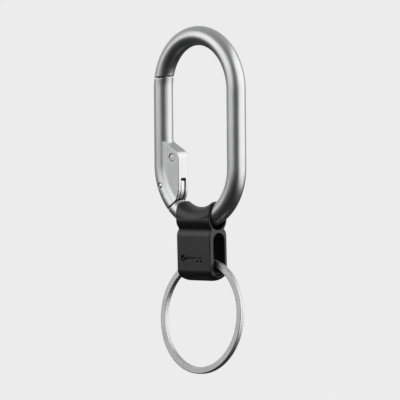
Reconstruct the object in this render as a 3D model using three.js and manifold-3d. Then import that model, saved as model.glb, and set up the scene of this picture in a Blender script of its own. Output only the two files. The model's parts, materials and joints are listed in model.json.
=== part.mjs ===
// Key organiser: an oval clip with a sprung gate, a moulded rubber hanger and a flat split ring.
// Millimetres, +Z up. X runs across the oval, Y through its thickness, front face towards -Y.
// The origin is the point that the clip hangs from: the middle of the oval's inner top edge.
import * as THREE from 'three';
import * as BufferGeometryUtils from 'three/addons/utils/BufferGeometryUtils.js';
import Module from 'manifold-3d';

const wasm = await Module();
wasm.setup();

// ---------- driving dimensions ----------

const BAR_RADIUS = 2.75;
const OVAL_HALF_WIDTH = 15.35;        // centre line of the bar, also the radius of the two bends
const OVAL_STRAIGHT = 10.95;          // half the length of the straight sides
const OVAL_BOTTOM = -OVAL_STRAIGHT - OVAL_HALF_WIDTH;
const HANG_POINT = OVAL_STRAIGHT + OVAL_HALF_WIDTH - BAR_RADIUS;

const PIVOT_ANGLE = 23.1 * Math.PI / 180;          // below the start of the lower bend, on the centre line
const PIVOT = {
  x: -OVAL_HALF_WIDTH * Math.cos(PIVOT_ANGLE),
  z: -OVAL_STRAIGHT - OVAL_HALF_WIDTH * Math.sin(PIVOT_ANGLE),
};
const PIVOT_PIN_RADIUS = 0.72;
const GATE_END_RADIUS = 7.05;         // the gate's lower end is an arc about the pivot
const END_GAP = 0.32;                 // gap between the gate's ends and the frame
const SEAM = { x: -14.95, z: 14.05, rise: 0.1 };   // nose seam, rising towards the inside

const FIN_HALF_THICKNESS = 1.86;
const FIN_TOP = { x: -13.5, z: -4.15 };
const FIN_SHOULDER = { x: -8.2, z: -6.8 };
const FIN_SHOULDER_RADIUS = 1.5;

const SLOT = { halfWidth: 0.9, top: -14.7, outerRadius: 17.15 };
const CHAMBER = { left: -14.6, right: -8.4, top: -13.1 };   // room for the follower above the slot
const PLATE_HALF_THICKNESS = 0.65;    // knuckle and follower
const KNUCKLE = { radius: 1.45, neckFrom: -75, neckTo: -54, outerRadius: 16.85 };
const CAM = { reach: 1.55, angle: 45, tip: 0.3 };
const FOLLOWER = { left: -13.9, foot: -12.2, right: -8.7, top: -13.6, lobeTop: -15.4, flank: -31 };
const FOLLOWER_OFFSET = -0.15;        // it runs against the front side of the slot
const RUNNING_CLEARANCE = 0.08;
const PRESS_CLEARANCE = 0.04;

const SEAT_PIN = { x: -10.0, z: -8.9, radius: 1.12 };
const SPRING = { radius: 0.72, wire: 0.34, turns: 4.5, bottom: -13.2, top: -10.2 };
const POCKET_RADIUS = 1.15;

const NOSE_TONGUE = { halfWidth: 0.75, left: -16.9, right: -14.9, length: 2.2, gap: 0.3 };

const STRAP_HALF_WIDTH = 7.03;
const STRAP_TURN = 1.2;               // degrees it has slid round the bend, towards the plain side
const STRAP_LOOP = { depth: 3.57, height: 3.6 };
const STRAP_TUNNEL_RADIUS = 2.95;
const STRAP_BODY = { depth: 3.37, top: -31.1, bottom: -40.55 };       // centres of its two round ends
const RING_SLOT = { halfWidth: 2.15, top: -32.3, bottom: -40.35, y: 0.23 };
const STRAP_OUTLINE = { top: -20.85, topRadius: 1.3, bottomRadius: 2.9 };

const RING = { outer: 16.6, inner: 14.73, thickness: 1.5, split: 0.04 };
const RING_JOG = { from: 82, to: 107 };        // degrees from +X, where the wire crosses to the back turn
const RING_CENTRE = { x: 2.24, y: -1.71, z: -53.69 };
const RING_TILT = 5.7 * Math.PI / 180;
const RING_YAW = 0.9 * Math.PI / 180;

const ROUND_STEPS = 24;
const LARGE_ARC_STEPS = 64;
const CURVE_SEGMENTS = ROUND_STEPS / 2;        // a whole circle in a shape gets twice this many sides

// ---------- solids: three.js geometry in and out of manifold-3d ----------

function toSolid(geometry) {
  const bare = geometry.clone();
  bare.deleteAttribute('normal');
  bare.deleteAttribute('uv');
  const merged = BufferGeometryUtils.mergeVertices(bare, 1e-5);
  const mesh = new wasm.Mesh({
    numProp: 3,
    vertProperties: new Float32Array(merged.attributes.position.array),
    triVerts: new Uint32Array(merged.index.array),
  });
  return new wasm.Manifold(mesh);
}

function toGeometry(solid) {
  const mesh = solid.getMesh();
  const geometry = new THREE.BufferGeometry();
  geometry.setAttribute('position', new THREE.BufferAttribute(new Float32Array(mesh.vertProperties), 3));
  geometry.setIndex(new THREE.BufferAttribute(new Uint32Array(mesh.triVerts), 1));
  geometry.computeVertexNormals();
  return geometry;
}

// A plate parallel to the XZ plane: a shape drawn in x and z, thick along Y about y = 0.
function plate(shape, halfThickness) {
  const geometry = new THREE.ExtrudeGeometry(shape, {
    depth: 2 * halfThickness,
    bevelEnabled: false,
    curveSegments: CURVE_SEGMENTS,
  });
  geometry.translate(0, 0, -halfThickness);
  geometry.rotateX(Math.PI / 2);
  return toSolid(geometry);
}

// A prism along X: a shape drawn in y and z, as long as the given half length each way.
function prism(shape, halfLength) {
  const geometry = new THREE.ExtrudeGeometry(shape, {
    depth: 2 * halfLength,
    bevelEnabled: false,
    curveSegments: CURVE_SEGMENTS,
  });
  geometry.translate(0, 0, -halfLength);
  geometry.rotateX(Math.PI / 2);
  geometry.rotateZ(Math.PI / 2);
  return toSolid(geometry);
}

// A round rod across the clip, along Y.
function crossRod(centre, radius, halfLength, steps = ROUND_STEPS) {
  const geometry = new THREE.CylinderGeometry(radius, radius, 2 * halfLength, steps);
  geometry.translate(centre.x, 0, centre.z);
  return toSolid(geometry);
}

function box(low, high) {
  const size = low.map((value, axis) => high[axis] - value);
  const geometry = new THREE.BoxGeometry(...size);
  geometry.translate(...low.map((value, axis) => value + size[axis] / 2));
  return toSolid(geometry);
}

function polygon(points) {
  return new THREE.Shape(points.map(([x, z]) => new THREE.Vector2(x, z)));
}

function roundedRectangle(left, bottom, right, top, bottomRadius, topRadius) {
  const shape = new THREE.Shape();
  shape.absarc(left + bottomRadius, bottom + bottomRadius, bottomRadius, Math.PI, 1.5 * Math.PI, false);
  shape.absarc(right - bottomRadius, bottom + bottomRadius, bottomRadius, 1.5 * Math.PI, 2 * Math.PI, false);
  shape.absarc(right - topRadius, top - topRadius, topRadius, 0, 0.5 * Math.PI, false);
  shape.absarc(left + topRadius, top - topRadius, topRadius, 0.5 * Math.PI, Math.PI, false);
  return shape;
}

function pill(halfWidth, top, bottom) {
  const shape = new THREE.Shape();
  shape.absarc(0, top, halfWidth, 0, Math.PI, false);
  shape.absarc(0, bottom, halfWidth, Math.PI, 2 * Math.PI, false);
  return shape;
}

function aroundPivot(radius, degrees) {
  const angle = THREE.MathUtils.degToRad(degrees);
  return [PIVOT.x + radius * Math.cos(angle), PIVOT.z + radius * Math.sin(angle)];
}

// ---------- the oval's centre line ----------

// Distance along the line runs clockwise from the middle of the left side: up the left side,
// round the top bend, down the right side and round the bottom bend.
const BEND_LENGTH = Math.PI * OVAL_HALF_WIDTH;
const SIDE_LENGTH = 2 * OVAL_STRAIGHT;
const HALF_LENGTH = BEND_LENGTH + SIDE_LENGTH;
const BOTTOM_MIDDLE = HALF_LENGTH + OVAL_STRAIGHT + BEND_LENGTH / 2;

class OvalLine extends THREE.Curve {
  constructor(from, to) {
    super();
    this.from = from;
    this.to = to;
  }

  getPoint(t, target = new THREE.Vector3()) {
    const distance = this.from + (this.to - this.from) * t + OVAL_STRAIGHT;
    const halfTurns = Math.floor(distance / HALF_LENGTH);
    const run = distance - halfTurns * HALF_LENGTH;
    const angle = Math.max(0, run - SIDE_LENGTH) / OVAL_HALF_WIDTH;
    const straight = Math.min(run, SIDE_LENGTH) - OVAL_STRAIGHT;
    target.set(-OVAL_HALF_WIDTH * Math.cos(angle), 0, straight + OVAL_HALF_WIDTH * Math.sin(angle));
    return halfTurns % 2 === 0 ? target : target.multiplyScalar(-1);
  }
}

function alongOval(from, to, halfDepth, halfHeight, stepLength = 2) {
  const section = new THREE.Shape().absellipse(0, 0, halfDepth, halfHeight, 0, 2 * Math.PI, false);
  const geometry = new THREE.ExtrudeGeometry(section, {
    steps: Math.ceil((to - from) / stepLength),
    extrudePath: new OvalLine(from, to),
    curveSegments: CURVE_SEGMENTS,
  });
  return toSolid(geometry);
}

// ---------- where the gate parts from the frame ----------

const PAST_NOSE_SEAM = OVAL_STRAIGHT + 1;
const PAST_LOWER_SEAM = HALF_LENGTH + OVAL_STRAIGHT + 0.79 * BEND_LENGTH;

// Everything on one side of the seam plane under the nose, moved by an offset in height.
function noseSeamSide(offset, height) {
  const [left, right] = [-25, -5];
  const at = (x) => SEAM.z + offset + SEAM.rise * (x - SEAM.x);
  return plate(polygon([
    [left, at(left)],
    [right, at(right)],
    [right, at(right) + height],
    [left, at(left) + height],
  ]), 5);
}

function lowerEndDisc(radius) {
  return crossRod(PIVOT, radius, 6, LARGE_ARC_STEPS);
}

// ---------- frame ----------

function makeKnuckle() {
  const { radius, neckFrom, neckTo, outerRadius } = KNUCKLE;
  const buried = GATE_END_RADIUS + 2.5;
  const neck = plate(polygon([
    aroundPivot(0.9 * radius, neckFrom - 90),
    aroundPivot(buried, neckFrom),
    aroundPivot(buried, neckTo),
    aroundPivot(0, neckTo),
  ]), PLATE_HALF_THICKNESS);
  const [tipX, tipZ] = aroundPivot(CAM.reach, CAM.angle);
  const cam = plate(polygon([
    aroundPivot(radius, CAM.angle - 30),
    [tipX + CAM.tip * Math.SQRT1_2, tipZ - CAM.tip * Math.SQRT1_2],
    [tipX - CAM.tip * Math.SQRT1_2, tipZ + CAM.tip * Math.SQRT1_2],
    aroundPivot(radius, CAM.angle + 30),
    [PIVOT.x, PIVOT.z],
  ]), PLATE_HALF_THICKNESS);
  return crossRod(PIVOT, radius, PLATE_HALF_THICKNESS)
    .add(cam)
    .add(crossRod({ x: tipX, z: tipZ }, CAM.tip, PLATE_HALF_THICKNESS, 12))
    .add(neck.intersect(crossRod({ x: 0, z: -OVAL_STRAIGHT }, outerRadius, 6, LARGE_ARC_STEPS)))
    .subtract(crossRod(PIVOT, PIVOT_PIN_RADIUS + RUNNING_CLEARANCE, 6));
}

function makeFrame() {
  const { halfWidth, left, right, length } = NOSE_TONGUE;
  const tongue = box([left, -halfWidth, SEAM.z - length], [right, halfWidth, SEAM.z + 1]);
  return alongOval(PAST_NOSE_SEAM, PAST_LOWER_SEAM, BAR_RADIUS, BAR_RADIUS)
    .subtract(noseSeamSide(END_GAP / 2, -10))
    .subtract(lowerEndDisc(GATE_END_RADIUS + END_GAP))
    .add(tongue)
    .add(makeKnuckle());
}

// ---------- gate ----------

function finOutline() {
  const finEdge = PIVOT.x + GATE_END_RADIUS;
  const lowerCorner = PIVOT_ANGLE + 2 * Math.asin(GATE_END_RADIUS / 2 / OVAL_HALF_WIDTH);
  const arcEnd = Math.atan2(
    -OVAL_STRAIGHT - OVAL_HALF_WIDTH * Math.sin(lowerCorner) - PIVOT.z,
    -OVAL_HALF_WIDTH * Math.cos(lowerCorner) - PIVOT.x,
  );
  const slope = Math.atan2(FIN_TOP.z - FIN_SHOULDER.z, FIN_SHOULDER.x - FIN_TOP.x);
  const shape = new THREE.Shape();
  shape.moveTo(-OVAL_HALF_WIDTH, FIN_TOP.z);
  shape.lineTo(FIN_TOP.x, FIN_TOP.z);
  shape.absarc(
    finEdge - FIN_SHOULDER_RADIUS,
    FIN_SHOULDER.z - FIN_SHOULDER_RADIUS,
    FIN_SHOULDER_RADIUS, Math.PI / 2 - slope, 0, true,
  );
  shape.absarc(PIVOT.x, PIVOT.z, GATE_END_RADIUS, 0, arcEnd, true);
  shape.absarc(0, -OVAL_STRAIGHT, OVAL_HALF_WIDTH, Math.PI + lowerCorner, Math.PI, true);
  return shape;
}

function makeGateCavity() {
  const farRight = PIVOT.x + 2 * GATE_END_RADIUS;
  const bottom = OVAL_BOTTOM - BAR_RADIUS;
  const slot = box([-25, -SLOT.halfWidth, bottom], [farRight, SLOT.halfWidth, SLOT.top])
    .intersect(crossRod({ x: 0, z: -OVAL_STRAIGHT }, SLOT.outerRadius, 6, LARGE_ARC_STEPS));
  const chamber = box(
    [CHAMBER.left, -SLOT.halfWidth, SLOT.top - 1],
    [CHAMBER.right, SLOT.halfWidth, CHAMBER.top],
  );
  const pocketHeight = SEAT_PIN.z - CHAMBER.top + 0.1;
  const pocket = new THREE.CylinderGeometry(POCKET_RADIUS, POCKET_RADIUS, pocketHeight, ROUND_STEPS);
  pocket.rotateX(Math.PI / 2);
  pocket.translate(SEAT_PIN.x, 0, SEAT_PIN.z - pocketHeight / 2);
  return slot.add(chamber).add(toSolid(pocket));
}

function makeGate() {
  const start = PAST_LOWER_SEAM - 2 * HALF_LENGTH - BAR_RADIUS;
  const bar = alongOval(start, PAST_NOSE_SEAM + 4, BAR_RADIUS, BAR_RADIUS)
    .subtract(noseSeamSide(-END_GAP / 2, 10))
    .subtract(box([-25, -6, -35], [0, 6, PIVOT.z]).subtract(lowerEndDisc(GATE_END_RADIUS)));
  const { halfWidth, right, length, gap } = NOSE_TONGUE;
  const notch = box(
    [-25, -halfWidth - gap, SEAM.z - length - gap],
    [right + gap, halfWidth + gap, SEAM.z + 5],
  );
  return bar.add(plate(finOutline(), FIN_HALF_THICKNESS))
    .subtract(notch)
    .subtract(makeGateCavity())
    .subtract(crossRod(PIVOT, PIVOT_PIN_RADIUS + PRESS_CLEARANCE, 6))
    .subtract(crossRod(SEAT_PIN, SEAT_PIN.radius + PRESS_CLEARANCE, 6));
}

function makeFollower() {
  const { left, foot, right, top, lobeTop, flank } = FOLLOWER;
  const camTop = PIVOT.z + CAM.reach * Math.sin(THREE.MathUtils.degToRad(CAM.angle)) + CAM.tip;
  const lobeEdge = GATE_END_RADIUS - 0.12;
  const lobeRadius = 1.25;
  const lobeRight = PIVOT.x + lobeEdge;
  const flankAngle = THREE.MathUtils.degToRad(flank);
  const shape = new THREE.Shape();
  shape.moveTo(left, camTop + RUNNING_CLEARANCE);
  shape.lineTo(left, top);
  shape.lineTo(right, top);
  shape.lineTo(right, lobeTop);
  shape.absarc(lobeRight - lobeRadius, lobeTop - lobeRadius, lobeRadius, Math.PI / 2, 0, true);
  shape.absarc(PIVOT.x, PIVOT.z, lobeEdge, 0, flankAngle, true);
  shape.lineTo(...aroundPivot((foot - PIVOT.x) / Math.cos(flankAngle), flank));
  shape.lineTo(foot, camTop + RUNNING_CLEARANCE);
  return plate(shape, PLATE_HALF_THICKNESS).translate([0, FOLLOWER_OFFSET, 0]);
}

class Helix extends THREE.Curve {
  getPoint(t, target = new THREE.Vector3()) {
    const angle = 2 * Math.PI * SPRING.turns * t;
    const rise = SPRING.bottom + (SPRING.top - SPRING.bottom) * t;
    return target.set(
      SEAT_PIN.x + SPRING.radius * Math.cos(angle),
      SPRING.radius * Math.sin(angle),
      rise,
    );
  }
}

function makeSpring() {
  const section = new THREE.Shape().absarc(0, 0, SPRING.wire / 2, 0, 2 * Math.PI, false);
  return toSolid(new THREE.ExtrudeGeometry(section, {
    steps: Math.round(SPRING.turns * 14),
    extrudePath: new Helix(),
    curveSegments: 3,
  }));
}

// ---------- strap ----------

function makeStrap() {
  const { depth, height } = STRAP_LOOP;
  const reach = 0.55 * OVAL_HALF_WIDTH;
  const loopShape = new THREE.Shape().absellipse(0, OVAL_BOTTOM, depth, height, 0, 2 * Math.PI, false);
  const tunnelShape = new THREE.Shape().absarc(0, OVAL_BOTTOM, STRAP_TUNNEL_RADIUS, 0, 2 * Math.PI, false);
  const outline = roundedRectangle(
    -STRAP_HALF_WIDTH, STRAP_BODY.bottom - STRAP_BODY.depth,
    STRAP_HALF_WIDTH, STRAP_OUTLINE.top,
    STRAP_OUTLINE.bottomRadius, STRAP_OUTLINE.topRadius,
  );
  const ringSlot = pill(RING_SLOT.halfWidth, RING_SLOT.top, RING_SLOT.bottom);
  return alongOval(BOTTOM_MIDDLE - reach, BOTTOM_MIDDLE + reach, depth, height, 1)
    .add(prism(loopShape, STRAP_HALF_WIDTH))
    .add(prism(pill(STRAP_BODY.depth, STRAP_BODY.top, STRAP_BODY.bottom), STRAP_HALF_WIDTH))
    .intersect(plate(outline, 6))
    .subtract(alongOval(
      BOTTOM_MIDDLE - 1.3 * reach, BOTTOM_MIDDLE + 1.3 * reach,
      STRAP_TUNNEL_RADIUS, STRAP_TUNNEL_RADIUS, 1,
    ))
    .subtract(prism(tunnelShape, 10))
    .subtract(prism(ringSlot, 10).translate([0, RING_SLOT.y, 0]))
    .translate([0, 0, OVAL_STRAIGHT])
    .rotate([0, -STRAP_TURN, 0])
    .translate([0, 0, -OVAL_STRAIGHT]);
}

// ---------- key ring ----------

// One flat wire in two turns that lie against each other, front turn first, drawn in x and z.
class RingLine extends THREE.Curve {
  getPoint(t, target = new THREE.Vector3()) {
    const jogLength = RING_JOG.to - RING_JOG.from;
    const degrees = t * (720 - jogLength);
    const across = THREE.MathUtils.smoothstep(degrees, 360 - jogLength, 360);
    const angle = THREE.MathUtils.degToRad(RING_JOG.to + degrees);
    const middle = (RING.inner + RING.outer) / 2;
    const layer = (RING.thickness + RING.split) / 4;
    return target.set(middle * Math.cos(angle), layer * (2 * across - 1), middle * Math.sin(angle));
  }
}

function makeKeyRing() {
  const halfThickness = (RING.thickness - RING.split) / 4;
  const halfWidth = (RING.outer - RING.inner) / 2;
  const section = polygon([
    [-halfThickness, -halfWidth],
    [halfThickness, -halfWidth],
    [halfThickness, halfWidth],
    [-halfThickness, halfWidth],
  ]);
  return toSolid(new THREE.ExtrudeGeometry(section, { steps: 116, extrudePath: new RingLine() }));
}

// ---------- assembly ----------

const satinSteel = { color: 0xb9bbbd, roughness: 0.35, metalness: 1 };
const polishedSteel = { color: 0xc9cacc, roughness: 0.22, metalness: 1 };
const blackRubber = { color: 0x1b1b1c, roughness: 0.55, metalness: 0 };

const organiser = new THREE.Group();
organiser.position.z = -HANG_POINT;

function addPiece(name, solid, finish) {
  const mesh = new THREE.Mesh(toGeometry(solid), new THREE.MeshStandardMaterial(finish));
  mesh.name = name;
  organiser.add(mesh);
  return mesh;
}

addPiece('frame', makeFrame(), satinSteel);
addPiece('gate', makeGate(), satinSteel);
addPiece('hinge_pin', crossRod(PIVOT, PIVOT_PIN_RADIUS, BAR_RADIUS - 0.02), polishedSteel);
addPiece('spring_seat_pin', crossRod(SEAT_PIN, SEAT_PIN.radius, FIN_HALF_THICKNESS), satinSteel);
addPiece('gate_spring', makeSpring(), polishedSteel);
addPiece('spring_follower', makeFollower(), polishedSteel);
addPiece('strap', makeStrap(), blackRubber);

const keyRing = addPiece('key_ring', makeKeyRing(), polishedSteel);
keyRing.position.set(RING_CENTRE.x, RING_CENTRE.y, RING_CENTRE.z);
keyRing.rotation.set(-RING_TILT, 0, RING_YAW, 'ZYX');

export default organiser;
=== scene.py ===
"""Key organiser: an oval clip with a sprung gate, a moulded rubber hanger and a flat split ring.

The shapes are signed distance functions in millimetres, in the clip's own frame: x across the oval,
y through its thickness with the front at -y, z up, and zero at the middle of the oval. Each one is
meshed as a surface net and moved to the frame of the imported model, which hangs from its origin.
"""

import json
import math

import bpy
import numpy as np
from mathutils import Matrix, Vector


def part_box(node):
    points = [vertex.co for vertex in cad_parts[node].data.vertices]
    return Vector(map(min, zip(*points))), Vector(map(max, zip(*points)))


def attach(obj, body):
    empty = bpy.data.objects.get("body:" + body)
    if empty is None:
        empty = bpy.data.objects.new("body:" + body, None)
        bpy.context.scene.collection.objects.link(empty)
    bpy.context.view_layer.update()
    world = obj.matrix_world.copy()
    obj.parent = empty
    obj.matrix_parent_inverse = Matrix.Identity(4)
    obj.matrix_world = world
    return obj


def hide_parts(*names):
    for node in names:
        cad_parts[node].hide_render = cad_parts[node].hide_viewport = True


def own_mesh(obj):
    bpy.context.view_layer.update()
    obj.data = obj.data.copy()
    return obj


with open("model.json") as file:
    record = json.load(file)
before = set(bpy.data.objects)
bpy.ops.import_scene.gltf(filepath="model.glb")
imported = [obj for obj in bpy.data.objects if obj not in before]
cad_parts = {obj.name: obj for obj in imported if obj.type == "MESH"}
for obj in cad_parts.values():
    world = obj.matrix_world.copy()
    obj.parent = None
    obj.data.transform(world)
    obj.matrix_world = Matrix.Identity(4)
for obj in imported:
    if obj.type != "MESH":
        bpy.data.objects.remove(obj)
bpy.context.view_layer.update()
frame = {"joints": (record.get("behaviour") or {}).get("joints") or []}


# ---------- sizes, in mm ----------
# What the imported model's boxes and joints give is read from it. The rest is as in the part's source.

MM = 0.001


def box_mm(node):
    low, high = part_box(node)
    return np.array(low) / MM, np.array(high) / MM


def joint_mm(name):
    joint = next(j for j in frame["joints"] if j["name"] == name)
    return np.array(joint["pos_m"]) / MM


frame_high = box_mm("frame")[1]
BAR = frame_high[1]
HALF_WIDTH = frame_high[0] - BAR
STRAIGHT = (frame_high[2] - BAR - HALF_WIDTH - joint_mm("strap_slide")[2]) / 2
CENTRE_Z = joint_mm("strap_slide")[2] + STRAIGHT
BOTTOM = -STRAIGHT - HALF_WIDTH


def local(point):
    """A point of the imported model, in mm from the middle of the oval."""
    return np.array([point[0], point[1], point[2] - CENTRE_Z])


PIVOT = local(joint_mm("gate_hinge"))
gate_high = local(box_mm("gate")[1])
GATE_END = gate_high[0] - PIVOT[0]
END_GAP = 0.32
GAP_RIGHT = -5    # what the gap takes off the bar lies left of this
SEAM_RISE = 0.1
SEAM_X = -14.95
SEAM_Z = gate_high[2] + END_GAP / 2 - 0.26    # the gate's top corner stands above the seam's middle
TONGUE_LEFT, TONGUE_RIGHT = -16.9, -14.9
TONGUE_HALF, TONGUE_LENGTH = 0.75, 2.2
NOTCH_RIGHT, NOTCH_HALF, NOTCH_DEPTH = -14.6, 1.05, 2.5

pin_low, pin_high = (local(corner) for corner in box_mm("hinge_pin"))
PIN_RADIUS = (pin_high[0] - pin_low[0]) / 2
PIN_HALF_LENGTH = 2.6
seat_low, seat_high = (local(corner) for corner in box_mm("spring_seat_pin"))
SEAT = (seat_low + seat_high) / 2
SEAT_RADIUS = (seat_high[0] - seat_low[0]) / 2
SEAT_RECESS = 0.14
FIN = seat_high[1]
FIN_TOP = (-13.5, -4.15)
FIN_SLOPE = math.radians(26.6)
FIN_SHOULDER = 1.5
FILLET = 3.0

plate_low, plate_high = (local(corner) for corner in box_mm("spring_follower"))
PLATE = (plate_high[1] - plate_low[1]) / 2
PLATE_Y = (plate_high[1] + plate_low[1]) / 2
PLATE_RIGHT = -8.7
SLOT = 0.9
SLOT_TOP = plate_high[2] - 1.1
SLOT_OUTER = 1.8
CHAMBER_LEFT, CHAMBER_RIGHT = -14.6, -8.4
POCKET = 1.15
KNUCKLE, KNUCKLE_OUTER = 1.45, 1.5
NECK_FROM, NECK_TO, NECK_REACH = -75, -54, 2.5
CAM_REACH, CAM_TIP, CAM_CLEARANCE = 1.55 * math.sqrt(0.5), 0.3, 0.08
FOOT_ACROSS, FOOT_RAY = 2.0, -31
LOBE_DROP, LOBE_ROUND, LOBE_GAP = 1.55, 0.8, 0.12
SPRING_TURNS, SPRING_WIRE = 4.5, 0.17

STRAP_TURN = math.radians(1.2)
STRAP_HALF_WIDTH = 7.03
STRAP_TOP = -20.85
STRAP_TOP_CORNER, STRAP_FOOT_CORNER = 1.3, 2.9
LOOP_DEPTH, LOOP_HEIGHT = box_mm("strap")[1][1], 3.6
TUNNEL = 2.9
GROOVE, GROOVE_Y, GROOVE_Z = 0.65, 3.15, -29.25
BODY_DEPTH, BODY_TOP, BODY_BOTTOM = 3.37, -31.1, -40.55
RING_SLOT, RING_SLOT_Y = 2.15, 0.23
RING_SLOT_TOP, RING_SLOT_BOTTOM = -32.3, -40.35
MARK_X, MARK_Z, MARK_DEPTH = -0.9, -37.4, 0.55

ring_low, ring_high = (local(corner) for corner in box_mm("key_ring"))
RING_OUTER = (ring_high[0] - ring_low[0]) / 2
RING_WIDTH, RING_THICK, RING_SPLIT = 1.87, 1.5, 0.04
RING_JOG_FROM, RING_JOG_TO = math.radians(82), math.radians(107)
RING_OPEN_CORNER, RING_INNER_CORNER = 0.24, 0.05
RING_CENTRE = (ring_low + ring_high) / 2
RING_TILT = math.asin((ring_high[1] - ring_low[1] - RING_THICK) / 2 / RING_OUTER)
RING_YAW = math.radians(0.9)


# ---------- signed distances ----------
# Negative inside, positive outside. The radius given to join, meet and cut is the edge's or fillet's.

def length(*parts):
    return np.sqrt(sum(part * part for part in parts))


def join(a, b, radius):
    """Union with a round fillet."""
    corner = length(np.maximum(radius - a, 0), np.maximum(radius - b, 0))
    return np.maximum(radius, np.minimum(a, b)) - corner


def meet(a, b, radius):
    """Intersection with a round edge."""
    corner = length(np.maximum(radius + a, 0), np.maximum(radius + b, 0))
    return np.minimum(-radius, np.maximum(a, b)) + corner


def cut(a, b, radius):
    """a without b, with a round edge."""
    return meet(a, -b, radius)


def radial(x, z):
    """Distance outwards from the oval's centre line, in its own plane."""
    return length(x, z - np.clip(z, -STRAIGHT, STRAIGHT)) - HALF_WIDTH


def bar(x, y, z, radius):
    return length(radial(x, z), y) - radius


def rod(x, z, centre, radius):
    """A round rod along y."""
    return length(x - centre[0], z - centre[2]) - radius


def slab(value, low, high):
    return np.maximum(low - value, value - high)


def ellipse(u, v, a, b):
    scaled = length(u / a, v / b)
    return scaled * (scaled - 1) / np.maximum(length(u / a**2, v / b**2), 1e-6)


def pill(y, z, half, top, bottom):
    """An upright slot shape, its round ends centred at top and bottom."""
    return length(y, z - np.clip(z, bottom, top)) - half


def above_seam(x, z):
    """Positive above the plane where the gate meets the nose."""
    return (z - SEAM_Z - SEAM_RISE * (x - SEAM_X)) / math.hypot(1, SEAM_RISE)


def from_pivot(x, z, degrees):
    """Distance across a ray from the pivot, positive on its anticlockwise side."""
    angle = math.radians(degrees)
    return (z - PIVOT[2]) * math.cos(angle) - (x - PIVOT[0]) * math.sin(angle)


# ---------- surface nets ----------

def surface_net(field, low, high, step):
    """Vertices on the zero level of field, and the quads between them."""
    counts = [int(math.ceil((b - a) / step)) + 1 for a, b in zip(low, high)]
    axes = [a + step * np.arange(n) for a, n in zip(low, counts)]
    values = field(*np.meshgrid(*axes, indexing="ij", sparse=True)).astype(np.float32)
    inside = values < 0
    cells = [n - 1 for n in counts]
    strides = (cells[1] * cells[2], cells[2], 1)
    totals = np.zeros((4, cells[0] * cells[1] * cells[2]), dtype=np.float64)
    corners = []
    for axis in range(3):
        first = tuple(slice(None, -1) if a == axis else slice(1, -1) for a in range(3))
        second = tuple(slice(1, None) if a == axis else slice(1, -1) for a in range(3))
        crossing = np.argwhere(inside[first] != inside[second])
        crossing += [0 if a == axis else 1 for a in range(3)]
        ends = crossing.copy()
        ends[:, axis] += 1
        start, stop = values[tuple(crossing.T)], values[tuple(ends.T)]
        points = crossing.astype(np.float64)
        points[:, axis] += start / (start - stop)
        across = [a for a in range(3) if a != axis]
        base = crossing @ np.array(strides)
        steps = ((0, 0), (1, 0), (1, 1), (0, 1))
        around = [base - i * strides[across[0]] - j * strides[across[1]] for i, j in steps]
        for cell in around:
            for k in range(3):
                totals[k] += np.bincount(cell, points[:, k], totals.shape[1])
            totals[3] += np.bincount(cell, minlength=totals.shape[1])
        quads = np.stack(around, 1)
        outward = (start < 0) != (axis == 1)
        quads[~outward] = quads[~outward][:, ::-1]
        corners.append(quads)
    quads = np.concatenate(corners)
    used = np.flatnonzero(totals[3])
    index = np.full(totals.shape[1], -1)
    index[used] = np.arange(len(used))
    vertices = (totals[:3, used] / totals[3, used]).T * step + np.array(low)
    return vertices, index[quads]


def onto_surface(field, vertices, reach):
    """Moves vertices to the zero level along the field's gradient."""
    nudge = 0.01
    for _ in range(3):
        x, y, z = vertices.T
        value = field(x, y, z)
        slope = np.stack([
            field(x + nudge, y, z) - field(x - nudge, y, z),
            field(x, y + nudge, z) - field(x, y - nudge, z),
            field(x, y, z + nudge) - field(x, y, z - nudge),
        ], 1) / (2 * nudge)
        move = slope * (value / np.maximum((slope**2).sum(1), 0.05))[:, None]
        size = np.linalg.norm(move, axis=1)
        vertices = vertices - move * np.minimum(1, reach / np.maximum(size, 1e-9))[:, None]
    return vertices


def relax(vertices, quads):
    """Each vertex at the mean of its neighbours along quad edges."""
    total = len(vertices)
    a = quads.ravel()
    b = np.roll(quads, -1, axis=1).ravel()
    count = np.bincount(a, minlength=total) + np.bincount(b, minlength=total)
    mean = [
        (np.bincount(a, vertices[b, k], total) + np.bincount(b, vertices[a, k], total)) / count
        for k in range(3)
    ]
    return np.stack(mean, 1)


def mesh_of(field, low, high, step):
    """The zero level of field as an even mesh of quads, drawn back onto it after each smoothing."""
    margin = 2.5 * step
    vertices, quads = surface_net(field, np.array(low) - margin, np.array(high) + margin, step)
    vertices = onto_surface(field, vertices, step / 2)
    for _ in range(3):
        vertices = onto_surface(field, relax(vertices, quads), step / 2)
    return vertices, quads.tolist()


# ---------- pieces ----------

def add_piece(name, node, body, slot, vertices, faces, material):
    """A smooth mesh from vertices in mm about the oval's middle, which stands for a CAD node."""
    mesh = bpy.data.meshes.new(name)
    placed = (np.asarray(vertices) + [0, 0, CENTRE_Z]) * MM
    mesh.from_pydata(placed.tolist(), [], faces)
    mesh.shade_smooth()
    mesh.materials.append(material)
    piece = bpy.data.objects.new(name, mesh)
    bpy.context.scene.collection.objects.link(piece)
    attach(piece, body)
    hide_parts(node)
    return piece


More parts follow.
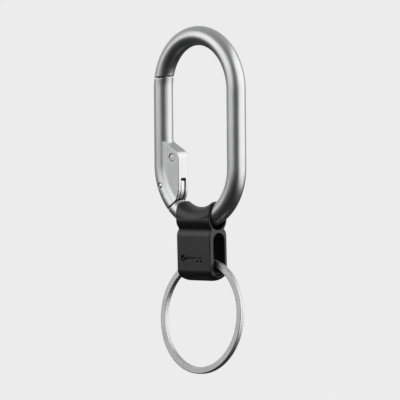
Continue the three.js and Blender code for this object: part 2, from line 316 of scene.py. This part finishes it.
def frame_field(x, y, z):
    """The open bar, with the nose's tongue and the thin knuckle that goes into the gate."""
    under_nose = np.maximum(np.maximum(above_seam(x, z) - END_GAP / 2, PIVOT[2] - z), x - GAP_RIGHT)
    gap = np.minimum(under_nose, rod(x, z, PIVOT, GATE_END + END_GAP))
    body = cut(bar(x, y, z, BAR), gap, 0.2)
    tongue = meet(slab(y, -TONGUE_HALF, TONGUE_HALF), slab(z, SEAM_Z - TONGUE_LENGTH, SEAM_Z + 1), 0.2)
    tongue = meet(slab(x, TONGUE_LEFT, TONGUE_RIGHT), tongue, 0.2)
    neck = meet(from_pivot(x, z, NECK_TO), -from_pivot(x, z, NECK_FROM) - 0.5, 0.1)
    neck = np.maximum(neck, rod(x, z, PIVOT, GATE_END + NECK_REACH))
    cam = rod(x, z, PIVOT + [CAM_REACH, 0, CAM_REACH], CAM_TIP)
    knuckle = join(join(rod(x, z, PIVOT, KNUCKLE), cam, 0.25), neck, 0.2)
    knuckle = meet(np.maximum(knuckle, radial(x, z) - KNUCKLE_OUTER), np.abs(y) - PLATE, 0.15)
    knuckle = cut(knuckle, rod(x, z, PIVOT, PIN_RADIUS + 0.08), 0.05)
    return join(join(body, tongue, 0.05), knuckle, 0.1)


def gate_end(x, z):
    """The fin's upright inner edge, and the arc about the pivot that it runs into."""
    across, up = x - PIVOT[0], z - PIVOT[2]
    arc = np.where(up < 0, length(across, up), across) - GATE_END - 0.06
    return np.maximum(across - GATE_END, arc)


def filleted_faces(across, y):
    """The bar and a plate beside it, joined on each face by the arc of a ball that rests on both."""
    away = np.abs(y)
    ball_y = FIN + FILLET
    ball_across = math.sqrt((BAR + FILLET) ** 2 - ball_y**2)
    under_ball = (across < ball_across) & (away * ball_across < ball_y * across)
    fillet = FILLET - length(across - ball_across, away - ball_y)
    return np.where(under_ball, fillet, np.minimum(length(across, y) - BAR, away - FIN))


def fin_field(x, y, z):
    """The fin's plate, with broad fillets to the bar along its two faces."""
    slope = (z - FIN_TOP[1]) * math.cos(FIN_SLOPE) + (x - FIN_TOP[0]) * math.sin(FIN_SLOPE)
    outline = meet(gate_end(x, z), slope, FIN_SHOULDER)
    outline = np.maximum(outline, radial(x, z))
    return meet(outline, filleted_faces(-radial(x, z), y), 0.08)


def gate_cavity(x, y, z):
    """The slot, the chamber over it where the follower rises, and the spring's round pocket."""
    slot = np.maximum(z - SLOT_TOP, radial(x, z) - SLOT_OUTER)
    beside, above = slab(x, CHAMBER_LEFT, CHAMBER_RIGHT), slab(z, SLOT_TOP - 1, plate_high[2] + 0.5)
    opening = np.maximum(np.minimum(slot, np.maximum(beside, above)), np.abs(y) - SLOT)
    pocket = np.maximum(length(x - SEAT[0], y) - POCKET, slab(z, SLOT_TOP, SEAT[2]))
    return np.minimum(opening, pocket)


def gate_field(x, y, z):
    """The bar and its fin between the seam and the lower end, with the notch, slot and pin holes."""
    solid = np.minimum(bar(x, y, z, BAR), fin_field(x, y, z))
    below = np.maximum(z - PIVOT[2], -rod(x, z, PIVOT, GATE_END))
    solid = meet(solid, above_seam(x, z) + END_GAP / 2, 0.22)
    solid = cut(solid, below, 0.2)
    notch = np.maximum(np.maximum(x - NOTCH_RIGHT, np.abs(y) - NOTCH_HALF), SEAM_Z - NOTCH_DEPTH - z)
    solid = cut(solid, notch, 0.15)
    solid = cut(solid, gate_cavity(x, y, z), 0.12)
    solid = cut(solid, rod(x, z, PIVOT, PIN_RADIUS + 0.06), 0.16)
    return cut(solid, rod(x, z, SEAT, SEAT_RADIUS + 0.03), 0.16)


def follower_field(x, y, z):
    """The plate over and beside the cam, with the round lobe that shows in the slot."""
    top, foot = plate_high[2], PIVOT[0] + FOOT_ACROSS
    cam_top = PIVOT[2] + CAM_REACH + CAM_TIP + CAM_CLEARANCE
    over_cam = meet(slab(x, plate_low[0], PLATE_RIGHT), slab(z, cam_top, top), 0.15)
    beside_cam = meet(slab(x, foot, PLATE_RIGHT), z - top, 0.15)
    lobe = meet(gate_end(x, z) + LOBE_GAP, z - top + LOBE_DROP, LOBE_ROUND)
    lobe = np.maximum(lobe, foot - x)
    beside = meet(np.minimum(beside_cam, lobe), -from_pivot(x, z, FOOT_RAY), 0.3)
    return meet(np.minimum(over_cam, beside), np.abs(y - PLATE_Y) - PLATE, 0.12)


def mark_field(x, z):
    """A small key, lying level: a round bow, a shank and two teeth."""
    u, v = x - MARK_X, z - MARK_Z
    bow = np.abs(length(u + 3.4, v) - 0.66) - 0.3
    shank = np.maximum(slab(u, -2.6, 4.3), np.abs(v) - 0.3)
    teeth = np.maximum(np.minimum(slab(u, 2.1, 2.8), slab(u, 3.6, 4.3)), slab(v, -1.0, 0))
    return np.minimum(bow, np.minimum(shank, teeth))


def strap_field(x, y, z):
    """The hanger, slid a little round the bend from where its outline would hang upright."""
    cos_turn, sin_turn = math.cos(STRAP_TURN), math.sin(STRAP_TURN)
    down = z + STRAIGHT
    x, z = x * cos_turn + down * sin_turn, down * cos_turn - x * sin_turn - STRAIGHT
    loop = ellipse(y, radial(x, z), LOOP_DEPTH, LOOP_HEIGHT)
    under_loop = ellipse(y, z - BOTTOM, LOOP_DEPTH, LOOP_HEIGHT)
    body = pill(y, z, BODY_DEPTH, BODY_TOP, BODY_BOTTOM)
    solid = join(np.minimum(loop, under_loop), body, 0.3)
    corner = np.where(z > RING_SLOT_TOP, STRAP_TOP_CORNER, STRAP_FOOT_CORNER)
    beside = np.abs(x) - STRAP_HALF_WIDTH
    above = slab(z, BODY_BOTTOM - BODY_DEPTH, STRAP_TOP)
    outline = length(np.maximum(beside + corner, 0), np.maximum(above + corner, 0)) - corner
    outline = outline + np.minimum(np.maximum(beside, above) + corner, 0)
    solid = meet(solid, outline, 0.42)
    groove = np.maximum(length(np.abs(y) - GROOVE_Y, z - GROOVE_Z) - GROOVE, GROOVE_Z - 0.05 - z)
    solid = cut(solid, groove, 0.15)
    tunnel = np.minimum(bar(x, y, z, TUNNEL), length(y, z - BOTTOM) - TUNNEL)
    solid = cut(solid, tunnel, 0.2)
    solid = cut(solid, pill(y - RING_SLOT_Y, z, RING_SLOT, RING_SLOT_TOP, RING_SLOT_BOTTOM), 0.15)
    mark = np.maximum(mark_field(x, z), y + BODY_DEPTH - MARK_DEPTH)
    return cut(solid, mark, 0.05)


def sweep(centres, across, along, section):
    """Vertices and faces of a section carried along a line, closed by a face at each end."""
    rings = centres[:, None] + across[:, None] * section[..., :1] + along[:, None] * section[..., 1:]
    count, sides = rings.shape[:2]
    start = np.arange(count - 1)[:, None] * sides
    side = np.arange(sides)
    following = (side + 1) % sides
    quads = np.stack([start + side, start + following, start + sides + following, start + sides + side], -1)
    faces = quads.reshape(-1, 4).tolist()
    faces.append(side[::-1].tolist())
    faces.append((side + (count - 1) * sides).tolist())
    return rings.reshape(-1, 3), faces


def round_section(radius, sides):
    turn = np.linspace(0, 2 * math.pi, sides, endpoint=False)
    return np.stack([radius * np.cos(turn), radius * np.sin(turn)], 1)


def soft_rectangle(half_width, half_height, top_radius, foot_radius, steps=4):
    """A rectangle with its upper and lower corners rounded differently, and its sides shaded flat."""
    margin = 0.04
    points = []
    for quarter, (side_u, side_v) in enumerate(((1, 1), (-1, 1), (-1, -1), (1, -1))):
        radius = top_radius if side_v > 0 else foot_radius
        middle = np.array([side_u * (half_width - radius), side_v * (half_height - radius)])
        angles = (quarter + np.linspace(0, 1, steps + 1)) * math.pi / 2
        arc = [middle + radius * np.array([math.cos(angle), math.sin(angle)]) for angle in angles]
        before = margin * np.array([math.sin(angles[0]), -math.cos(angles[0])])
        after = margin * np.array([-math.sin(angles[-1]), math.cos(angles[-1])])
        points += [arc[0] + before, *arc, arc[-1] + after]
    return np.array(points)


def ring_mesh():
    """One flat wire wound in two turns, with the step between them inside the hanger."""
    jog = RING_JOG_TO - RING_JOG_FROM
    turned = np.linspace(0, 4 * math.pi - jog, 840)
    step = np.clip((turned - 2 * math.pi) / jog + 1, 0, 1)
    towards_back = (step * step * (3 - 2 * step))[:, None, None]
    layer = (RING_THICK + RING_SPLIT) / 4 * (2 * towards_back[:, 0] - 1)
    angle = RING_JOG_TO + turned
    outward = np.stack([np.cos(angle), 0 * angle, np.sin(angle)], 1)
    across = np.tile([0.0, 1.0, 0.0], (len(angle), 1))
    middle = RING_OUTER - RING_WIDTH / 2
    half_width, half_thick = RING_WIDTH / 2, (RING_THICK - RING_SPLIT) / 4
    front_turn = soft_rectangle(half_width, half_thick, RING_INNER_CORNER, RING_OPEN_CORNER)
    back_turn = soft_rectangle(half_width, half_thick, RING_OPEN_CORNER, RING_INNER_CORNER)
    section = front_turn + (back_turn - front_turn) * towards_back
    vertices, faces = sweep(middle * outward + layer * across, outward, across, section)
    turn = Matrix.Rotation(RING_YAW, 3, "Z") @ Matrix.Rotation(-RING_TILT, 3, "X")
    return vertices @ np.array(turn).T + RING_CENTRE, faces


def spring_mesh():
    """A round wire coiled upwards about the spring's own axis."""
    low, high = (local(corner) for corner in box_mm("gate_spring"))
    wire, coil = SPRING_WIRE, (high[0] - low[0]) / 2 - SPRING_WIRE
    t = np.linspace(0, 1, 120)
    angle = 2 * math.pi * SPRING_TURNS * t
    outward = np.stack([np.cos(angle), np.sin(angle), 0 * t], 1)
    centres = coil * outward + np.array([SEAT[0], 0, 0])
    centres[:, 2] = low[2] + wire + (high[2] - low[2] - 2 * wire) * t
    up = np.tile([0.0, 0.0, 1.0], (len(t), 1))
    return sweep(centres, outward, up, round_section(wire, 12))


def pin_mesh(centre, radius, half_length, dome, bevel, sides=64):
    """A pin along y with soft edges and slightly domed ends."""
    edge = np.linspace(0, math.pi / 2, 5)
    crown = np.linspace(1, 0, 7)[1:-1]
    flat, shoulder = radius - bevel, half_length - bevel
    profile = [(flat + bevel * math.cos(a), shoulder + bevel * math.sin(a)) for a in edge]
    profile += [(flat * c, half_length + dome * (1 - c * c)) for c in crown]
    whole = [(r, -y) for r, y in reversed(profile)] + profile
    turn = np.linspace(0, 2 * math.pi, sides, endpoint=False)
    rings = [
        np.stack([centre[0] + r * np.cos(turn), np.full(sides, y), centre[2] - r * np.sin(turn)], 1)
        for r, y in whole
    ]
    side = np.arange(sides)
    following = (side + 1) % sides
    faces = []
    for k in range(len(rings) - 1):
        quads = np.stack([side, following, following + sides, side + sides], 1) + k * sides
        faces += quads[:, ::-1].tolist()
    faces.append(side.tolist())
    faces.append((side + (len(rings) - 1) * sides)[::-1].tolist())
    return np.concatenate(rings), faces


# ---------- materials ----------

def new_material(name, colour, metallic, roughness):
    material = bpy.data.materials.new(name)
    material.use_nodes = True
    nodes = material.node_tree.nodes
    shader = nodes["Principled BSDF"]
    shader.inputs["Base Color"].default_value = (*colour, 1)
    shader.inputs["Metallic"].default_value = metallic
    shader.inputs["Roughness"].default_value = roughness
    return material, nodes, material.node_tree.links, shader


def object_noise(nodes, links, scale, detail=2.0, stretch=(1, 1, 1)):
    place = nodes.new("ShaderNodeTexCoord")
    mapping = nodes.new("ShaderNodeMapping")
    mapping.inputs["Scale"].default_value = stretch
    noise = nodes.new("ShaderNodeTexNoise")
    noise.inputs["Scale"].default_value = scale
    noise.inputs["Detail"].default_value = detail
    links.new(place.outputs["Object"], mapping.inputs["Vector"])
    links.new(mapping.outputs["Vector"], noise.inputs["Vector"])
    return noise


def remap(nodes, links, source, low, high, from_low=0.3, from_high=0.7):
    node = nodes.new("ShaderNodeMapRange")
    node.inputs["From Min"].default_value = from_low
    node.inputs["From Max"].default_value = from_high
    node.inputs["To Min"].default_value = low
    node.inputs["To Max"].default_value = high
    links.new(source, node.inputs["Value"])
    return node.outputs["Result"]


def mix_colours(nodes, links, factor, low, high):
    """Goes from low to high, each a colour or another node's output."""
    node = nodes.new("ShaderNodeMix")
    node.data_type = "RGBA"
    for name, colour in (("A", low), ("B", high)):
        if isinstance(colour, tuple):
            node.inputs[name].default_value = (*colour, 1)
        else:
            links.new(colour, node.inputs[name])
    links.new(factor, node.inputs["Factor"])
    return node.outputs["Result"]


def add_bump(nodes, links, shader, height, distance, strength=1.0):
    bump = nodes.new("ShaderNodeBump")
    bump.inputs["Distance"].default_value = distance
    bump.inputs["Strength"].default_value = strength
    links.new(height, bump.inputs["Height"])
    links.new(bump.outputs["Normal"], shader.inputs["Normal"])


def satin_steel():
    """Bead-blasted steel: a fine even grain, faint cloudy tone, and edges rubbed brighter."""
    material, nodes, links, shader = new_material("satin_steel", (0.6, 0.6, 0.6), 1, 0.34)
    grain = object_noise(nodes, links, 9000, 3)
    cloud = object_noise(nodes, links, 160, 3)
    edges = nodes.new("ShaderNodeNewGeometry")
    worn = remap(nodes, links, edges.outputs["Pointiness"], 0, 1, 0.53, 0.62)
    tone = remap(nodes, links, cloud.outputs["Fac"], 0, 1)
    base = mix_colours(nodes, links, tone, (0.585, 0.588, 0.592), (0.635, 0.636, 0.638))
    links.new(base, shader.inputs["Base Color"])
    matt = remap(nodes, links, grain.outputs["Fac"], 0.31, 0.39)
    rub = nodes.new("ShaderNodeMath")
    rub.operation = "MULTIPLY_ADD"
    rub.inputs[1].default_value = -0.08
    links.new(worn, rub.inputs[0])
    links.new(matt, rub.inputs[2])
    links.new(rub.outputs[0], shader.inputs["Roughness"])
    add_bump(nodes, links, shader, grain.outputs["Fac"], 0.000012, 0.6)
    return material


def turned_steel():
    """Pins and spring wire: smooth, with fine marks round the piece."""
    material, nodes, links, shader = new_material("turned_steel", (0.66, 0.66, 0.66), 1, 0.24)
    marks = object_noise(nodes, links, 2500, 2, (1, 0.05, 1))
    links.new(remap(nodes, links, marks.outputs["Fac"], 0.2, 0.3), shader.inputs["Roughness"])
    tone = remap(nodes, links, marks.outputs["Fac"], 0, 1)
    base = mix_colours(nodes, links, tone, (0.62, 0.62, 0.62), (0.7, 0.7, 0.7))
    links.new(base, shader.inputs["Base Color"])
    add_bump(nodes, links, shader, marks.outputs["Fac"], 0.000006, 0.5)
    return material


def ring_steel():
    """Flat wire: ground faces with marks that follow the ring round, and a painted highlight along the
    rolled edges: a paler base colour wherever the surface turns away from the flat faces.
    """
    material, nodes, links, shader = new_material("ring_steel", (0.56, 0.56, 0.56), 1, 0.42)
    place = nodes.new("ShaderNodeTexCoord")
    centred = nodes.new("ShaderNodeVectorMath")
    centred.operation = "SUBTRACT"
    centred.inputs[1].default_value = (RING_CENTRE + [0, 0, CENTRE_Z]) * MM
    links.new(place.outputs["Object"], centred.inputs[0])
    distance = nodes.new("ShaderNodeVectorMath")
    distance.operation = "LENGTH"
    links.new(centred.outputs["Vector"], distance.inputs[0])
    marks = nodes.new("ShaderNodeTexNoise")
    marks.noise_dimensions = "1D"
    marks.inputs["Scale"].default_value = 9000
    marks.inputs["Detail"].default_value = 2
    links.new(distance.outputs["Value"], marks.inputs["W"])
    cloud = object_noise(nodes, links, 220, 3)
    links.new(remap(nodes, links, cloud.outputs["Fac"], 0.4, 0.47), shader.inputs["Roughness"])
    tone = remap(nodes, links, marks.outputs["Fac"], 0, 1)
    ground = mix_colours(nodes, links, tone, (0.47, 0.47, 0.47), (0.54, 0.54, 0.54))
    # painted highlight: the sides and rolled edges, whose normals turn away from y, get the paler base
    # colour 0.62 in place of the ground faces' tone
    parts = nodes.new("ShaderNodeSeparateXYZ")
    links.new(place.outputs["Normal"], parts.inputs[0])
    facing = nodes.new("ShaderNodeMath")
    facing.operation = "ABSOLUTE"
    links.new(parts.outputs["Y"], facing.inputs[0])
    flat = remap(nodes, links, facing.outputs[0], 0, 1, 0.3, 0.9)
    base = mix_colours(nodes, links, flat, (0.62, 0.62, 0.62), ground)
    links.new(base, shader.inputs["Base Color"])
    add_bump(nodes, links, shader, marks.outputs["Fac"], 0.0000015, 0.3)
    return material


def black_rubber():
    """Matt moulded rubber: fine texture from the mould, faint uneven tone, a soft sheen."""
    material, nodes, links, shader = new_material("black_rubber", (0.008, 0.008, 0.009), 0, 0.47)
    grain = object_noise(nodes, links, 5200, 4)
    cloud = object_noise(nodes, links, 260, 4)
    tone = remap(nodes, links, cloud.outputs["Fac"], 0, 1)
    base = mix_colours(nodes, links, tone, (0.006, 0.006, 0.0065), (0.011, 0.011, 0.0115))
    links.new(base, shader.inputs["Base Color"])
    links.new(remap(nodes, links, grain.outputs["Fac"], 0.3, 0.4), shader.inputs["Roughness"])
    shader.inputs["Specular IOR Level"].default_value = 0.54
    add_bump(nodes, links, shader, grain.outputs["Fac"], 0.00003, 0.7)
    return material


# ---------- camera, light and floor ----------

VIEW_AZIMUTH = math.radians(47.45)
VIEW_ELEVATION = math.radians(3.02)
VIEW_ROLL = math.radians(0.45)
VIEW_DISTANCE = 1400
VIEW_WIDTH = 114.2857
AIM = (0.09, 20.68)    # where the oval's middle falls, in mm right of and above the view's middle
LIGHT_DISTANCE = 1.0
LIGHT_TARGET = Vector((0, 0, -0.045))
BACKDROP = 0.84


def view_axes():
    """Directions to the viewer's right, up, and back towards the viewer."""
    cos_a, sin_a = math.cos(VIEW_AZIMUTH), math.sin(VIEW_AZIMUTH)
    cos_e, sin_e = math.cos(VIEW_ELEVATION), math.sin(VIEW_ELEVATION)
    back = Vector((sin_a * cos_e, -cos_a * cos_e, sin_e))
    right = Vector((cos_a, sin_a, 0))
    return right, back.cross(right), back


def add_camera():
    """A long lens that looks the way the photo was taken, with its slight roll."""
    right, up, back = view_axes()
    target = Vector((0, 0, CENTRE_Z)) - right * AIM[0] - up * AIM[1]
    camera = bpy.data.cameras.new("camera")
    camera.sensor_width = 36
    camera.lens = camera.sensor_width * VIEW_DISTANCE / VIEW_WIDTH
    camera.clip_start, camera.clip_end = 0.05, 200
    seat = bpy.data.objects.new("camera", camera)
    bpy.context.scene.collection.objects.link(seat)
    turned_right = right * math.cos(VIEW_ROLL) - up * math.sin(VIEW_ROLL)
    turned_up = right * math.sin(VIEW_ROLL) + up * math.cos(VIEW_ROLL)
    pose = Matrix((turned_right, turned_up, back)).transposed().to_4x4()
    pose.translation = (target + back * VIEW_DISTANCE) * MM
    seat.matrix_world = pose
    bpy.context.scene.camera = seat


def add_light(name, turn, rise, spread, radiance):
    """A soft box facing the clip, its place and spread given in degrees as seen from the clip."""
    right, _, back = view_axes()
    level = Vector((back.x, back.y, 0)).normalized()
    turn, rise = math.radians(turn), math.radians(rise)
    way = (level * math.cos(turn) + right * math.sin(turn)) * math.cos(rise)
    way.z += math.sin(rise)
    width, height = (2 * LIGHT_DISTANCE * math.tan(math.radians(angle)) for angle in spread)
    light = bpy.data.lights.new(name, "AREA")
    light.shape = "RECTANGLE"
    light.size, light.size_y = width, height
    light.energy = radiance * math.pi * width * height
    lamp = bpy.data.objects.new(name, light)
    bpy.context.scene.collection.objects.link(lamp)
    lamp.location = LIGHT_TARGET + way * LIGHT_DISTANCE
    lamp.rotation_mode = "QUATERNION"
    lamp.rotation_quaternion = way.to_track_quat("Z", "Y")
    lamp.visible_camera = False


def add_lights():
    add_light("right_softbox", turn=73, rise=15, spread=(45, 44), radiance=1.27)
    add_light("left_softbox", turn=-70, rise=20, spread=(35, 22), radiance=1.15)


def add_world():
    """Paler behind than in front, dark below, and one plain pale tone where it is seen directly."""
    world = bpy.data.worlds.new("studio")
    bpy.context.scene.world = world
    world.use_nodes = True
    nodes, links = world.node_tree.nodes, world.node_tree.links
    place = nodes.new("ShaderNodeTexCoord")
    split = nodes.new("ShaderNodeSeparateXYZ")
    links.new(place.outputs["Generated"], split.inputs["Vector"])
    toward = nodes.new("ShaderNodeVectorMath")
    toward.operation = "DOT_PRODUCT"
    toward.inputs[1].default_value = (math.sin(VIEW_AZIMUTH), -math.cos(VIEW_AZIMUTH), 0)
    links.new(place.outputs["Generated"], toward.inputs[0])
    room = remap(nodes, links, toward.outputs["Value"], 0.55, 0.16, -0.8, 0.9)
    height = remap(nodes, links, split.outputs["Z"], 0.08, 1, -0.3, 0.05)
    level = nodes.new("ShaderNodeMath")
    level.operation = "MULTIPLY"
    links.new(room, level.inputs[0])
    links.new(height, level.inputs[1])
    studio = nodes["Background"]
    links.new(level.outputs[0], studio.inputs["Strength"])
    backdrop = nodes.new("ShaderNodeBackground")
    backdrop.inputs["Strength"].default_value = BACKDROP
    for background in (studio, backdrop):
        background.inputs["Color"].default_value = (1, 1, 1, 1)
    ray = nodes.new("ShaderNodeLightPath")
    choice = nodes.new("ShaderNodeMixShader")
    links.new(ray.outputs["Is Camera Ray"], choice.inputs["Fac"])
    links.new(studio.outputs[0], choice.inputs[1])
    links.new(backdrop.outputs[0], choice.inputs[2])
    links.new(choice.outputs[0], nodes["World Output"].inputs["Surface"])


def add_floor():
    """A wide floor in the backdrop's own tone, which neither lights the clip nor shows in it."""
    mesh = bpy.data.meshes.new("floor")
    reach, level = 60, -0.32
    corners = [(-reach, -reach), (reach, -reach), (reach, reach), (-reach, reach)]
    mesh.from_pydata([(x, y, level) for x, y in corners], [], [(0, 1, 2, 3)])
    floor = bpy.data.objects.new("floor", mesh)
    bpy.context.scene.collection.objects.link(floor)
    material, _, _, shader = new_material("pale_floor", (0, 0, 0), 0, 1)
    shader.inputs["Specular IOR Level"].default_value = 0
    shader.inputs["Emission Color"].default_value = (1, 1, 1, 1)
    shader.inputs["Emission Strength"].default_value = BACKDROP
    mesh.materials.append(material)
    floor.visible_glossy = False
    floor.visible_diffuse = False


def meshed(node, field, step):
    """The mesh of a field over a CAD node's box."""
    low, high = (local(corner) for corner in box_mm(node))
    return mesh_of(field, low, high, step)


# ---------- the scene ----------

add_camera()

satin, turned, ground, rubber = satin_steel(), turned_steel(), ring_steel(), black_rubber()

add_piece("clip_frame", "frame", "frame", "satin_steel", *meshed("frame", frame_field, 0.2), satin)
add_piece("clip_gate", "gate", "gate", "satin_steel", *meshed("gate", gate_field, 0.15), satin)
add_piece("follower_plate", "spring_follower", "follower", "pin_steel",
          *meshed("spring_follower", follower_field, 0.09), satin)
add_piece("rubber_hanger", "strap", "strap", "black_rubber", *meshed("strap", strap_field, 0.15), rubber)
add_piece("split_ring", "key_ring", "ring", "ring_steel", *ring_mesh(), ground)
spring = add_piece("coil_spring", "gate_spring", "gate", "pin_steel", *spring_mesh(), turned)
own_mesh(spring)
add_piece("pivot_pin", "hinge_pin", "gate", "pin_steel",
          *pin_mesh(PIVOT, PIN_RADIUS, PIN_HALF_LENGTH, dome=0.1, bevel=0.1), turned)
add_piece("seat_pin", "spring_seat_pin", "gate", "satin_steel",
          *pin_mesh(SEAT, SEAT_RADIUS, FIN - SEAT_RECESS, dome=0.03, bevel=0.1), satin)

add_lights()
add_world()
add_floor()

view = bpy.context.scene.view_settings
view.view_transform = "Standard"
view.look = "None"
